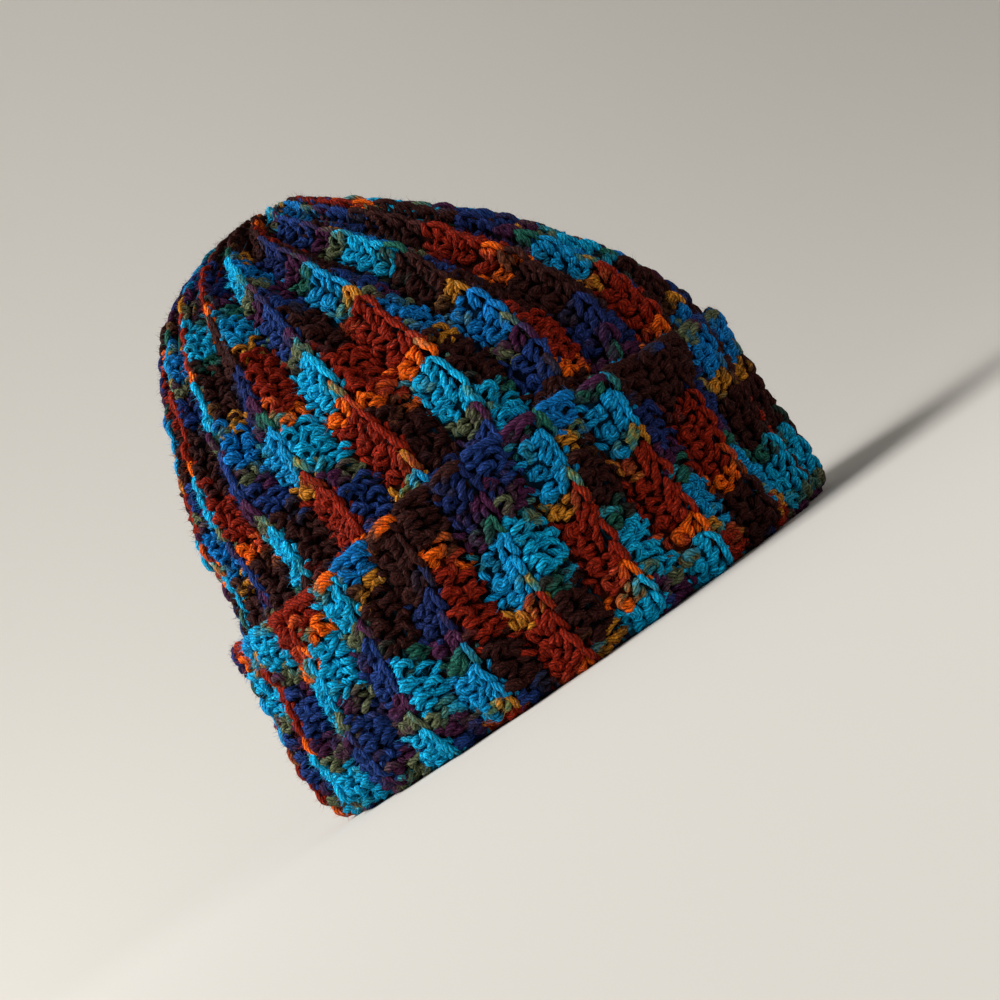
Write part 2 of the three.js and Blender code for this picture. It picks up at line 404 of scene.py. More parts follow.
# where the repeat stands in the rows that face the camera: the part's middle lies at the given stitch
# from the bottom, way is +1 or -1 as the row was worked, ribs count from the one nearest the camera
# and row 0 is left of the ridge
rowStarts = {
    "cuff": rowsOf("rib row part stitch way", [
        (-6, 0, "brownOne", 6.0, 1), (-6, 1, "rustTwo", 8.2, -1), (-5, 0, "blueThree", 7.2, 1),
        (-5, 1, "navyOne", 4.6, 1), (-4, 0, "rustOne", 7.7, 1), (-3, 0, "blueTwo", 7.0, 1),
        (-2, 0, "navyOne", 6.3, 1), (-1, 0, "blueThree", 2.9, 1), (0, 0, "blueThree", 6.5, 1),
        (1, 0, "rustOne", 5.5, 1), (2, 0, "rustOne", 5.8, 1), (3, 0, "rustTwo", 7.0, 1),
        (4, 0, "blueOne", 3.0, -1), (5, 0, "blueOne", 3.2, -1), (-4, 1, "blueTwo", 10.9, 1),
        (-3, 1, "blueTwo", 8.2, 1), (-2, 1, "blueOne", 4.6, -1), (-1, 1, "rustTwo", 6.4, -1),
        (0, 1, "blueOne", 6.7, 1), (1, 1, "blueOne", 4.2, -1), (2, 1, "blueThree", 4.3, 1),
        (3, 1, "blueThree", 4.0, 1), (4, 1, "brownTwo", 9.4, 1), (5, 1, "rustTwo", 7.6, -1)]),
    "body": rowsOf("rib row part stitch way", [
        (-7, 0, "rustOne", 9.0, 1), (-7, 1, "brownTwo", 8.0, 1), (-6, 0, "brownThree", 9.4, -1),
        (-6, 1, "rustTwo", 6.2, 1), (-5, 0, "blueThree", 11.2, 1), (-5, 1, "navyThree", 8.4, -1),
        (-4, 1, "brownTwo", 9.6, 1), (-4, 0, "blueTwo", 7.0, 1), (-3, 0, "navyOne", 7.3, 1),
        (-2, 0, "blueThree", 6.5, 1), (-1, 0, "blueTwo", 8.7, -1), (0, 0, "blueTwo", 4.5, 1),
        (1, 0, "blueFour", 6.6, 1), (2, 0, "rustTwo", 11.3, 1), (3, 0, "blueThree", 7.6, 1),
        (4, 0, "blueOne", 7.8, 1), (-3, 1, "blueFour", 8.6, 1), (-2, 1, "blueTwo", 6.2, 1),
        (-1, 1, "rustTwo", 8.0, 1), (0, 1, "blueFour", 9.0, -1), (1, 1, "rustTwo", 4.2, 1),
        (2, 1, "brownOne", 5.5, 1), (3, 1, "blueFour", 7.6, 1)])
}

dyeSeeds = {"body": 41, "cuff": 42}


def rowDyes(name):
    # start and way of the colour repeat for every row
    luck = np.random.default_rng(dyeSeeds[name])
    start = luck.uniform(0.0, repeatLength, (hat["ribs"], 2))
    way = np.tile([1.0, -1.0], (hat["ribs"], 1))
    for entry in rowStarts[name]:
        rib = entry["rib"] % hat["ribs"]
        way[rib, entry["row"]] = entry["way"]
        start[rib, entry["row"]] = dyeMiddle[entry["part"]] - entry["way"] * entry["stitch"]
    return {"start": start, "way": way}


def dyeAt(dyes, ribs, row, stitch):
    # place in the colour repeat at a stitch of a row
    ribs = ribs % hat["ribs"]
    return dyes["start"][ribs, row] + dyes["way"][ribs, row] * stitch


# the strands of one stitch: row 0 lies left of the ridge, turn is how many degrees a strand strays,
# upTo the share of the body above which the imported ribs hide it, dyeFrom and dyeTo its part of the
# stitch's dye; a point is across the rib (0 valley, 1 ridge, 2 valley), along it in stitches,
# up from the fabric and the strand's radius, both in mm
strands = rowsOf("name row steps turn upTo dyeFrom dyeTo points", [
    ("ridgeLoop", 0, 6, 2, 1.0, 0.00, 0.30, [
        (0.95, 0.66, -1.4, 0.8), (0.97, 0.48, 0.6, 1.18), (0.99, 0.22, 1.5, 1.32),
        (1.02, -0.05, 1.7, 1.36), (1.05, -0.32, 1.4, 1.32), (1.08, -0.55, 0.2, 1.1),
        (1.09, -0.7, -1.4, 0.8)]),
    ("longLeg", 0, 5, 8, 1.0, 0.30, 0.45, [
        (0.89, 0.62, -1.0, 0.9), (0.84, 0.5, 0.6, 1.18), (0.74, 0.28, 1.2, 1.28),
        (0.62, 0.04, 1.0, 1.25), (0.55, -0.12, -0.6, 0.9)]),
    ("nearLeg", 0, 4, 14, 1.0, 0.40, 0.50, [
        (0.86, 0.2, -0.8, 0.9), (0.82, 0.05, 0.6, 1.18), (0.75, -0.18, 0.9, 1.24),
        (0.69, -0.42, -0.8, 0.9)]),
    ("farLeg", 0, 4, 22, 1.0, 0.45, 0.55, [
        (0.7, 0.02, -0.9, 0.9), (0.66, -0.12, 0.7, 1.15), (0.58, -0.3, 0.9, 1.2),
        (0.5, -0.46, -0.8, 0.9)]),
    ("highLeg", 0, 3, 30, 0.74, 0.50, 0.60, [
        (0.7, 0.54, -0.8, 0.9), (0.63, 0.42, 0.8, 1.18), (0.54, 0.28, 0.9, 1.18),
        (0.48, 0.14, -0.8, 0.9)]),
    ("knot", 0, 8, 50, 1.0, 0.55, 0.85, [
        (0.47, 0.04, -0.6, 1.05), (0.39, 0.17, 1.1, 1.3), (0.27, 0.17, 1.6, 1.36),
        (0.17, 0.02, 1.7, 1.36), (0.2, -0.18, 1.5, 1.34), (0.33, -0.26, 1.0, 1.28),
        (0.44, -0.16, 0.0, 1.05)]),
    ("knotHeart", 0, 3, 70, 0.74, 0.70, 0.80, [
        (0.43, 0.1, -0.6, 1.0), (0.34, 0.0, 1.2, 1.25), (0.27, -0.1, 1.1, 1.25),
        (0.2, -0.2, -0.6, 1.0)]),
    ("knotTie", 0, 4, 32, 1.0, 0.75, 0.90, [
        (0.5, -0.34, -0.8, 0.9), (0.42, -0.44, 0.8, 1.18), (0.3, -0.52, 1.0, 1.22),
        (0.16, -0.48, -0.8, 0.9)]),
    ("valleyTuck", 0, 4, 34, 0.74, 0.80, 0.90, [
        (0.16, 0.34, -1.0, 0.95), (0.06, 0.42, 0.8, 1.22), (-0.06, 0.56, 0.7, 1.22),
        (-0.14, 0.74, -1.0, 0.95)]),
    ("valleyBed", 0, 3, 30, 1.0, 0.85, 0.95, [
        (0.14, 0.22, -1.0, 0.95), (0.06, 0.08, 0.7, 1.24), (0.03, -0.12, 0.7, 1.24),
        (0.1, -0.32, -1.0, 0.95)]),
    ("nub", 0, 3, 14, 0.74, 0.90, 1.00, [
        (1.22, 0.36, -1.4, 0.8), (1.19, 0.2, 0.4, 1.12), (1.16, 0.0, 0.3, 1.12),
        (1.12, -0.14, -1.4, 0.8)]),
    ("upperLump", 1, 6, 28, 1.0, 0.00, 0.25, [
        (1.14, 0.02, -1.2, 0.95), (1.17, 0.2, 0.9, 1.25), (1.28, 0.32, 1.6, 1.32),
        (1.4, 0.26, 1.5, 1.32), (1.46, 0.06, 0.8, 1.2), (1.44, -0.08, -1.0, 0.95)]),
    ("lowerLump", 1, 4, 34, 1.0, 0.25, 0.45, [
        (1.2, -0.3, -1.2, 0.95), (1.24, -0.12, 1.0, 1.25), (1.34, 0.0, 1.4, 1.3),
        (1.46, 0.08, 0.9, 1.22), (1.56, 0.1, -0.9, 0.95)]),
    ("lumpTie", 1, 4, 36, 1.0, 0.40, 0.55, [
        (1.3, -0.54, -1.0, 0.95), (1.36, -0.38, 0.9, 1.22), (1.46, -0.26, 1.0, 1.24),
        (1.56, -0.18, -1.0, 0.95)]),
    ("lumpCross", 1, 4, 40, 0.74, 0.50, 0.60, [
        (1.16, -0.46, -1.0, 0.9), (1.22, -0.58, 0.8, 1.18), (1.32, -0.66, 0.9, 1.18),
        (1.42, -0.64, -1.0, 0.9)]),
    ("valleyArm", 1, 5, 30, 1.0, 0.60, 0.75, [
        (1.5, 0.36, -1.0, 0.95), (1.6, 0.52, 0.9, 1.22), (1.73, 0.58, 1.4, 1.3),
        (1.85, 0.46, 1.1, 1.22), (1.92, 0.26, -1.0, 0.95)]),
    ("valleyKnob", 1, 4, 44, 1.0, 0.75, 0.88, [
        (1.6, 0.24, -1.0, 0.95), (1.66, 0.08, 0.9, 1.24), (1.78, 0.02, 1.2, 1.28),
        (1.9, 0.08, -1.0, 0.95)]),
    ("valleyTie", 1, 4, 38, 1.0, 0.85, 0.95, [
        (1.66, -0.3, -1.0, 0.95), (1.74, -0.14, 0.7, 1.22), (1.86, -0.08, 0.8, 1.24),
        (1.98, -0.18, -1.0, 0.95)]),
    ("sideTuck", 1, 3, 30, 0.74, 0.10, 0.20, [
        (1.1, 0.3, -1.0, 0.95), (1.18, 0.42, 0.8, 1.22), (1.28, 0.5, 0.9, 1.22),
        (1.38, 0.5, -1.0, 0.95)]),
    ("middleCurl", 1, 4, 40, 1.0, 0.55, 0.65, [
        (1.5, 0.26, -1.0, 0.95), (1.57, 0.12, 1.0, 1.26), (1.59, -0.08, 1.0, 1.26),
        (1.52, -0.26, -1.0, 0.95)]),
    ("valleyFill", 1, 4, 40, 0.80, 0.70, 0.80, [
        (1.56, -0.52, -1.0, 0.95), (1.65, -0.38, 0.8, 1.24), (1.76, -0.34, 0.9, 1.24),
        (1.88, -0.44, -1.0, 0.95)]),
    ("valleyEdge", 1, 3, 36, 0.74, 0.90, 1.00, [
        (1.87, 0.24, -1.0, 0.95), (1.95, 0.1, 0.8, 1.22), (1.98, -0.1, 0.7, 1.22),
        (1.93, -0.3, -1.0, 0.95)])])

stitching = {
    "stitchLength": 7.3 * mm,
    "sides": 5,
    "wander": 0.13 * mm,     # unevenness of the strands' points
    "wanderSeed": 5,
    "sink": 2.0 * mm,        # the strands' middles lie this far under the ridges' envelope
    "acrossUnit": 1.9,       # a unit across is this many times as long as a stitch
    "turnShake": 0.6,        # share of each strand's own turn
    "shake": 0.068,          # unevenness along, in stitches
    "shakeAcross": 0.6,      # share of it across, then for single points across and along
    "bendAcross": 0.35,
    "bendAlong": 0.5,
    "liftShake": 0.6,        # unevenness outwards, in mm
    "thicknessShake": 0.10,
    "bendThickness": 0.07,
    "fullPitch": 24 * mm,    # yarn draws together where the ribs are closer than this
    "drawTogether": 0.45,
    "floorShare": 0.92,      # share of its radius that a strand stays above the floor
    "endShare": 0.4,         # thickness of a strand's ends
    "dyeSpread": 0.9,        # share of a stitch's dye that its strands take up
    "runShake": 0.05,        # in metres, so that the plies start anywhere in their turn
    "outFrom": 1.2,          # a strand is wholly outside from this many mm up
    "bodyFrom": 0.055,       # first stitch on the body, hidden behind the cuff's edge
    "bodyTo": 0.985,
    "cuffFrom": 0.03,
    "seed": 11,
}


def splineThrough(points, steps):
    # smooth curve through a strand's points
    points = np.array(points, dtype=float)
    padded = np.vstack([2 * points[0] - points[1], points, 2 * points[-1] - points[-2]])
    spots = np.linspace(0, len(points) - 1, steps + 1)
    place = np.minimum(spots.astype(int), len(points) - 2)
    t = (spots - place)[:, None]
    a, b, c, d = (padded[place + offset] for offset in range(4))
    return 0.5 * (2 * b + (c - a) * t + (2 * a - 5 * b + 4 * c - d) * t ** 2
                  + (3 * b - 3 * c + d - a) * t ** 3)


def runAlong(points):
    # length along each polyline
    steps = np.linalg.norm(np.diff(points, axis=-2), axis=-1)
    return np.concatenate([np.zeros((*steps.shape[:-1], 1)), np.cumsum(steps, axis=-1)], axis=-1)


def bundleOf(points, radius, dye, run, out):
    # rows of points as loose polylines, with what the yarn material needs to know
    return {"points": points.reshape(-1, 3), "radius": radius.reshape(-1), "dye": dye.reshape(-1),
            "run": run.reshape(-1), "out": out.reshape(-1, 3), "sizes": [points.shape[1]] * points.shape[0]}


def strandBundle(cloth, dyes, ribList, rows, luck):
    # every strand of the given ribs
    firstAlong, lastAlong, count = rows
    everyRib = np.repeat(np.array(ribList), count)
    everyStitch = np.tile(np.arange(count), len(ribList)).astype(float)
    shake, acrossUnit = stitching["shake"], stitching["acrossUnit"]
    bundles = []
    for strand in strands:
        path = splineThrough(strand["points"], strand["steps"])
        halfRow = 0.5 + 0.5 * strand["row"]
        level = firstAlong + (lastAlong - firstAlong) * (everyStitch + halfRow) / count
        shown = (level <= strand["upTo"]) | (cloth["name"] == "cuff")
        ribs, stitch = everyRib[shown][:, None], everyStitch[shown][:, None]
        each, single = (len(ribs), 1), (len(ribs), len(path))
        # each strand strays a little and turns about its own middle
        middle = path[:, :2].mean(axis=0)
        stray = np.radians(luck.normal(0.0, stitching["turnShake"] * strand["turn"], each))
        across, up = (path[None, :, 0] - middle[0]) * acrossUnit, path[None, :, 1] - middle[1]
        x = middle[0] + (across * np.cos(stray) - up * np.sin(stray)) / acrossUnit
        y = stitch + halfRow + middle[1] + across * np.sin(stray) + up * np.cos(stray)
        x = x + luck.normal(0.0, shake * stitching["shakeAcross"], each)
        y = y + luck.normal(0.0, shake, each)
        x = x + luck.normal(0.0, shake * stitching["bendAcross"], single)
        y = y + luck.normal(0.0, shake * stitching["bendAlong"], single)
        height = path[None, :, 2] + luck.normal(0.0, stitching["liftShake"], each)
        radius = path[None, :, 3] * (1 + luck.normal(0.0, stitching["thicknessShake"], each)
                                     + luck.normal(0.0, stitching["bendThickness"], single))
        along = firstAlong + (lastAlong - firstAlong) * y / count
        pitch = ribPitch(cloth, along) / stitching["fullPitch"]
        narrow = np.clip(pitch, 0.0, 1.0) ** stitching["drawTogether"]
        point, out = clothFrame(cloth, ribs, x, along)
        point = point + out * (height * mm * narrow - stitching["sink"])[..., None]
        radius = radius * mm * narrow
        point[..., 2] = np.maximum(point[..., 2], radius * stitching["floorShare"])
        radius[:, [0, -1]] *= stitching["endShare"]
        place = strand["dyeFrom"] + (strand["dyeTo"] - strand["dyeFrom"]) * np.linspace(0.0, 1.0, len(path))
        dye = dyeAt(dyes, ribs, strand["row"], stitch + halfRow + stitching["dyeSpread"] * (place - 0.5))
        run = runAlong(point) + luck.uniform(0.0, stitching["runShake"], each)
        out = out * np.clip(height / stitching["outFrom"], 0.0, 1.0)[..., None]
        bundles.append(bundleOf(point, radius, dye, run, out))
    return joinBundles(bundles)


def joinBundles(bundles):
    return {key: (sum((bundle[key] for bundle in bundles), []) if key == "sizes"
                  else np.concatenate([bundle[key] for bundle in bundles])) for key in bundles[0]}


def addValues(mesh, name, values, kind="FLOAT"):
    made = mesh.attributes.new(name, kind, "POINT")
    made.data.foreach_set("value" if kind == "FLOAT" else "vector", values.astype(np.float32).ravel())


def polylineMesh(name, bundle):
    sizes = np.array(bundle["sizes"])
    starts = np.concatenate([[0], np.cumsum(sizes)[:-1]])
    first = np.concatenate([np.arange(start, start + size - 1) for start, size in zip(starts, sizes)])
    mesh = bpy.data.meshes.new(name)
    mesh.vertices.add(len(bundle["points"]))
    mesh.vertices.foreach_set("co", bundle["points"].astype(np.float32).ravel())
    mesh.edges.add(len(first))
    mesh.edges.foreach_set("vertices", np.stack([first, first + 1], axis=1).astype(np.int32).ravel())
    for key in ("radius", "dye", "run"):
        addValues(mesh, "yarn" + key.capitalize(), bundle[key])
    addValues(mesh, "yarnOut", bundle["out"], "FLOAT_VECTOR")
    mesh.update()
    return mesh


def yarnTree(material):
    # turns every polyline into a closed strand of yarn
    tree, board, given = newTree("strandsToYarn", [("Sides", "Int"), ("Wander", "Float"), ("Seed", "Int")])
    radius = board.node("GeometryNodeInputNamedAttribute", {"data_type": "FLOAT"}, {"Name": "yarnRadius"})
    offset = board.randomPush(given["Seed"], given["Wander"])
    moved = board.node("GeometryNodeSetPosition", None, {"Geometry": given["Geometry"], "Offset": offset})
    curves = board.node("GeometryNodeMeshToCurve", None, {"Mesh": moved})
    sized = board.node("GeometryNodeSetCurveRadius", None, {"Curve": curves, "Radius": radius})
    circle = board.node("GeometryNodeCurvePrimitiveCircle", {"mode": "RADIUS"},
                        {"Resolution": given["Sides"], "Radius": 1.0})
    ringPlace = board.node("GeometryNodeInputPosition")
    marked = board.node("GeometryNodeStoreNamedAttribute", {"data_type": "FLOAT_VECTOR", "domain": "POINT"},
                        {"Geometry": circle, "Name": "yarnRing", "Value": ringPlace})
    tube = board.node("GeometryNodeCurveToMesh", None, {
        "Curve": sized, "Profile Curve": marked, "Scale": radius})
    board.handOn(board.node("GeometryNodeSetShadeSmooth", None, {"Geometry": tube}), material)
    return tree


def plainPiece(name, mesh, node, material):
    piece = bpy.data.objects.new(name, mesh)
    bpy.context.scene.collection.objects.link(piece)
    mesh.materials.clear()
    mesh.materials.append(material)
    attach(piece, "root")
    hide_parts(node)
    return piece


def grownPiece(name, mesh, tree, values, node, material):
    # runs the tree on a mesh and keeps the result as a plain mesh
    start = bpy.data.objects.new(name + "_start", mesh)
    bpy.context.scene.collection.objects.link(start)
    modifier = start.modifiers.new("grow", "NODES")
    modifier.node_group = tree
    for item in tree.interface.items_tree:
        if item.in_out == "INPUT" and item.name in values:
            modifier[item.identifier] = values[item.name]
    bpy.context.view_layer.update()
    depsgraph = bpy.context.evaluated_depsgraph_get()
    made = bpy.data.meshes.new_from_object(start.evaluated_get(depsgraph), depsgraph=depsgraph)
    made.name = name
    start.modifiers.clear()
    bpy.data.objects.remove(start)
    bpy.data.meshes.remove(mesh)
    print(name, "triangles", sum(len(p.vertices) - 2 for p in made.polygons))
    return plainPiece(name, made, node, material)


yarnLook = {
    "plies": 5,
    "layLength": 10.0 * mm,  # one full turn of the plies
    "looseness": 1.3,        # how far the plies stray from an even twist
    "looseScale": 520.0,
    "plyRound": 0.85,
    "plyShade": 0.80,        # painted shade in the grooves between plies
    "fibreRound": 3.0,       # fibres round the yarn and along it
    "fibreAlong": 560.0,
    "tangleScale": 1500.0,
    "tangleShare": 0.4,      # share of the fibres that don't follow the plies
    "fibreContrast": 3.6,
    "dyeScale": 320.0,
    "dyeStray": 0.5,         # how far, in stitches, the dye takes unevenly
    "patchScale": 210.0,
    "patchFrom": 0.52,       # brightness of the loops, from and gain
    "patchGain": 0.95,
    "glintFrom": 0.60,       # fibre brighter than this gets a painted highlight
    "glintGain": 3.2,
    "glintWhite": 0.035,
    "glintTone": (0.9, 0.78, 0.6, 1.0),
    "plyHeight": 0.55,
    "fibreHeight": 0.35,
    "bumpDepth": 0.9 * mm,
    "roughness": 0.72,
    "specular": 0.10,
}

mixing = {
    "blur": 0.27,            # half the length over which two dyes meet, in stitches or less
    "darken": 0.85,
    "least": 0.02,
    "ahead": 20.0,           # whole repeats that keep the place in the repeat above 0
}


def dyesMeet(one, other):
    # where two dyes run into each other they darken, as dyes do
    pairs = zip(tones[one["tone"]], tones[other["tone"]])
    least = mixing["least"]
    return tuple(mixing["darken"] * math.sqrt(max(a, least) * max(b, least)) for a, b in pairs)


def dyeStops(parts, before, after):
    # ramp stops for some parts of the repeat, with the neighbours' meeting tones at both ends
    length = sum(entry["stitches"] for entry in parts)
    stops, reach = [(0.0, dyesMeet(before, parts[0]))], 0.0
    for entry, following in zip(parts, parts[1:] + [after]):
        blur = mixing["blur"] * min(1.0, entry["stitches"])
        stops += [((reach + blur) / length, tones[entry["tone"]]),
                  ((reach + entry["stitches"] - blur) / length, tones[entry["tone"]]),
                  ((reach + entry["stitches"]) / length, dyesMeet(entry, following))]
        reach += entry["stitches"]
    return stops


def dyeTone(board, dye):
    # tone of the yarn; a ramp holds 32 stops at most, so the repeat is split over three
    inRepeat = board.maths("FRACT", dye / repeatLength + mixing["ahead"])
    third = math.ceil(len(dyeRepeat) / 3)
    tone, begun = None, 0.0
    for first in range(0, len(dyeRepeat), third):
        parts = dyeRepeat[first:first + third]
        share = sum(entry["stitches"] for entry in parts) / repeatLength
        stops = dyeStops(parts, dyeRepeat[first - 1], dyeRepeat[(first + third) % len(dyeRepeat)])
        ramp = board.node("ShaderNodeValToRGB", {"stops": stops}, {0: (inRepeat - begun) / share})
        if tone is None:
            tone = ramp
        else:
            tone = board.mixColour(board.maths("GREATER_THAN", inRepeat, begun), tone, ramp)
        begun += share
    return tone


def makeYarnMaterial(name, look):
    material, board = newMaterial(name)
    spot, run = board.objectSpot(), board.attribute("yarnRun")
    ring = board.node("ShaderNodeSeparateXYZ", None, {0: board.attribute("yarnRing", "Vector")})
    turn = board.maths("ARCTAN2", board.wire(ring, 1), board.wire(ring, 0))

    # the dye does not take evenly
    patchy = (board.noise(spot, look["dyeScale"], 1.0) - 0.5) * look["dyeStray"]
    tone = dyeTone(board, board.attribute("yarnDye") + patchy)

    # plies twisted round each other
    loose = (board.noise(spot, look["looseScale"], 2.0) - 0.5) * look["looseness"]
    helix = turn - run * (2 * math.pi / look["layLength"]) + loose
    groove = board.maths("ABSOLUTE", board.maths("SINE", helix * (0.5 * look["plies"])))
    crown = groove ** look["plyRound"]

    # fibres that run with the plies
    fibreSpot = board.node("ShaderNodeCombineXYZ", None, {
        0: board.maths("SINE", helix) * look["fibreRound"],
        1: board.maths("COSINE", helix) * look["fibreRound"], 2: run * look["fibreAlong"]})
    streak = board.noise(fibreSpot, 1.0, 3.0, 0.6) * (1.0 - look["tangleShare"])
    tangle = board.noise(spot, look["tangleScale"], 2.0, 0.6) * look["tangleShare"]
    fibre = board.clamped((streak + tangle - 0.5) * look["fibreContrast"] + 0.5)

    # no two loops take the light alike
    patch = look["patchFrom"] + look["patchGain"] * board.noise(spot, look["patchScale"], 1.0)
    # painted light: shade in the ply grooves, light and dark fibre streaks and each loop's own brightness
    # are multiplied into the base colour
    shade = ((1.0 - look["plyShade"]) + look["plyShade"] * crown) * (0.5 + fibre) * patch
    colour = board.shaded(tone, shade)
    # painted highlight: glints painted into the base colour on the ply crests, a little whitened
    paintedGlint = board.clamped((fibre - look["glintFrom"]) * look["glintGain"]) * crown
    paintedHighlight = board.mixColour(look["glintWhite"], board.mixColour(1.0, tone, tone, "ADD"), look["glintTone"])
    bump = board.node("ShaderNodeBump", None, {
        "Strength": 1.0, "Distance": look["bumpDepth"],
        "Height": crown * look["plyHeight"] + fibre * look["fibreHeight"]})
    board.surface({"Base Color": board.mixColour(paintedGlint, colour, paintedHighlight), "Roughness": look["roughness"],
                   "Specular IOR Level": look["specular"], "Normal": bump})
    return material


yarnMaterial = makeYarnMaterial("dyedYarn", yarnLook)
strandTree = yarnTree(yarnMaterial)
yarnValues = {"Sides": stitching["sides"], "Wander": stitching["wander"], "Seed": stitching["wanderSeed"]}
print("yarn material and strand tree ready")

bodyDyes = rowDyes("body")
cuffDyes = rowDyes("cuff")
bodyShare, cuffShare = stitching["bodyTo"] - stitching["bodyFrom"], 1.0 - stitching["cuffFrom"]
bodyStitches = int(round(bodyCloth["fabricLength"] * bodyShare / stitching["stitchLength"]))
cuffStitches = int(round(cuffCloth["fabricLength"] * cuffShare / stitching["stitchLength"]))
print("stitches up the body", bodyStitches, "up the cuff", cuffStitches)

bodyQuarters = {"right": range(-4, 2), "front": range(2, 8), "left": range(8, 14), "back": range(14, 20)}
cuffHalves = {"right": range(-6, 6), "left": range(6, 18)}
luck = np.random.default_rng(stitching["seed"])
stitched = {}
for side, ribs in bodyQuarters.items():
    reach = (stitching["bodyFrom"], stitching["bodyTo"], bodyStitches)
    bundle = strandBundle(bodyCloth, bodyDyes, list(ribs), reach, luck)
    name = "body_stitches_" + side
    lines = polylineMesh(name, bundle)
    stitched[name] = grownPiece(name, lines, strandTree, yarnValues, "body", yarnMaterial)

cuffEdge = {
    "strands": rowsOf("row points", [
        (0, [(-0.10, -0.30, -2.6, 0.9), (0.10, -0.02, 0.2, 1.3), (0.55, 0.08, 1.0, 1.4),
             (0.95, 0.00, 1.3, 1.35), (1.12, -0.25, -1.6, 0.9)]),
        (1, [(0.92, -0.28, -2.0, 0.9), (1.12, 0.02, 0.6, 1.3), (1.50, 0.10, 0.8, 1.4),
             (1.90, 0.00, 0.4, 1.3), (2.12, -0.25, -2.4, 0.9)]),
        (0, [(0.35, -0.34, -0.6, 1.0), (0.48, -0.18, 1.4, 1.4), (0.74, -0.12, 2.0, 1.45),
             (0.98, -0.26, 0.8, 1.1)]),
        (0, [(-0.05, -0.35, -5.2, 1.1), (0.30, -0.02, -3.0, 1.6), (0.80, 0.02, -2.4, 1.6),
             (1.15, -0.30, -3.6, 1.0)]),
        (1, [(0.85, -0.35, -3.8, 1.1), (1.25, 0.00, -2.8, 1.6), (1.75, 0.02, -2.8, 1.6),
             (2.10, -0.35, -4.6, 1.0)])]),
    "steps": 8,
    "below": 0.12,           # in stitches, under the edge
    "sink": 1.0 * mm,
    "rise": 4 * mm,
    "drop": 0.8 * mm,
    "shakeAcross": 0.03,
    "shakeAlong": 0.05,
    "thicknessShake": 0.06,
    "dyeFrom": -0.3,         # in stitches, past the row's end
    "dyeTo": 0.6,
}


def edgeBundle(cloth, dyes, ribList, count, luck):
    # yarn that lies along the cuff's free edge, where the rows turn
    ribs = np.array(ribList)[:, None]
    bundles = []
    for strand in cuffEdge["strands"]:
        path = splineThrough(strand["points"], cuffEdge["steps"])
        x = path[None, :, 0] + luck.normal(0.0, cuffEdge["shakeAcross"], ribs.shape)
        stitch = path[None, :, 1] - cuffEdge["below"] + luck.normal(0.0, cuffEdge["shakeAlong"], ribs.shape)
        point, out = clothFrame(cloth, ribs, x, np.minimum(1.0 + stitch / count, 1.0))
        point = point + out * (path[None, :, 2] * mm - cuffEdge["sink"])[..., None]
        point[..., 2] += np.maximum(path[None, :, 1], 0.0) * cuffEdge["rise"] - cuffEdge["drop"]
        radius = path[None, :, 3] * mm * (1 + luck.normal(0.0, cuffEdge["thicknessShake"], ribs.shape))
        past = np.linspace(cuffEdge["dyeFrom"], cuffEdge["dyeTo"], len(path))
        dye = dyeAt(dyes, ribs, strand["row"], count + past)
        radius[:, [0, -1]] *= stitching["endShare"]
        bundles.append(bundleOf(point, radius, dye, runAlong(point), out))
    return joinBundles(bundles)


for side, ribs in cuffHalves.items():
    bundle = joinBundles([
        strandBundle(cuffCloth, cuffDyes, list(ribs), (stitching["cuffFrom"], 1.0, cuffStitches), luck),
        edgeBundle(cuffCloth, cuffDyes, list(ribs), cuffStitches, luck)])
    name = "cuff_stitches_" + side
    lines = polylineMesh(name, bundle)
    stitched[name] = grownPiece(name, lines, strandTree, yarnValues, "cuff", yarnMaterial)
print("stitches made")


fuzz = {
    "density": 1850000.0,    # hairs on a square metre of yarn surface, where it faces out
    "facingFrom": 0.15,
    "length": 2.9 * mm,
    "shortest": 0.5,         # shares of the length, before they are squared
    "longest": 1.15,
    "width": 0.075 * mm,
    "lean": 1.2,             # how far the hairs lie over
    "seed": 3,
    "tone": (0.62, 0.60, 0.58, 1.0),
    "toneShare": 0.05,
    "toneScale": 900.0,
    "roughness": 0.8,
    "specular": 0.2,
}


def makeFuzzMaterial(name):
    material, board = newMaterial(name)
    tone = dyeTone(board, board.attribute("yarnDye"))
    pale = fuzz["toneShare"] * board.noise(board.objectSpot(), fuzz["toneScale"], 1.0)
    board.surface({"Base Color": board.mixColour(pale, tone, fuzz["tone"]),
                   "Roughness": fuzz["roughness"], "Specular IOR Level": fuzz["specular"]})
    return material


